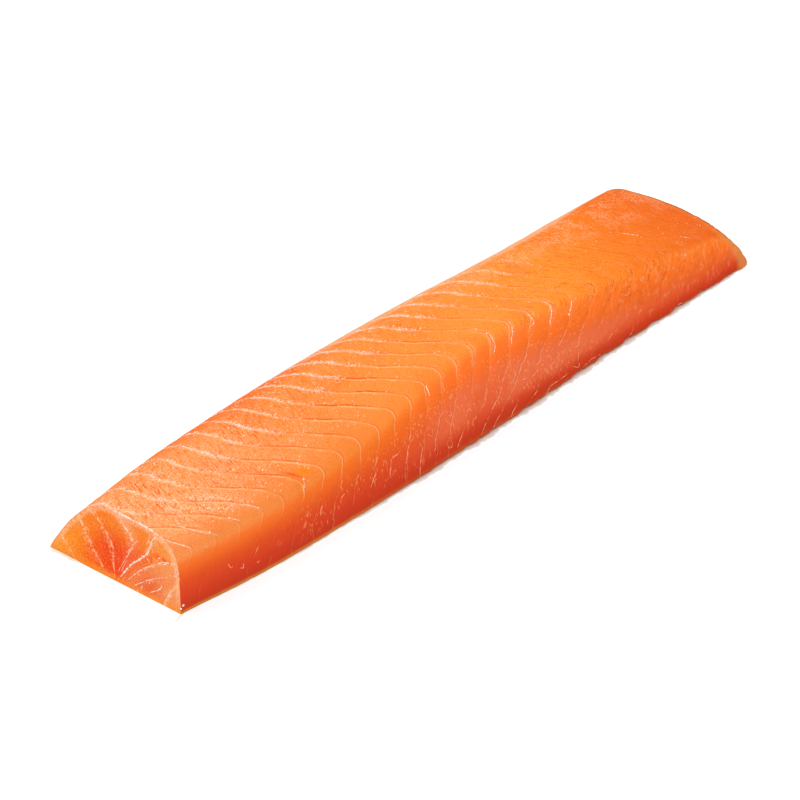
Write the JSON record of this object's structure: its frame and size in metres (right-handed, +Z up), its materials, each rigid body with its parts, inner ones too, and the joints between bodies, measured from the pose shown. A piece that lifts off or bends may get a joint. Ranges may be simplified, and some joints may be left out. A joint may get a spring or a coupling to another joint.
{
  "type": "smoked salmon fillet",
  "caption": "Long skinless piece of smoked salmon back fillet with a flat underside, a steep side, a thin edge and chevron muscle segments over the top.",
  "frame": {"origin": "middle of the flat underside's box, on the surface that the fillet lies on", "axes": "+X along the fillet from its square head cut to its skewed tail cut, +Y across it from the steep side to the thin edge, +Z up out of the flat underside"},
  "size_m": [0.3198, 0.0794, 0.03],
  "materials": {
    "smoked_flesh": "satin"
  },
  "bodies": {
    "root": {"fillet": "smoked_flesh"}
  },
  "joints": []
}
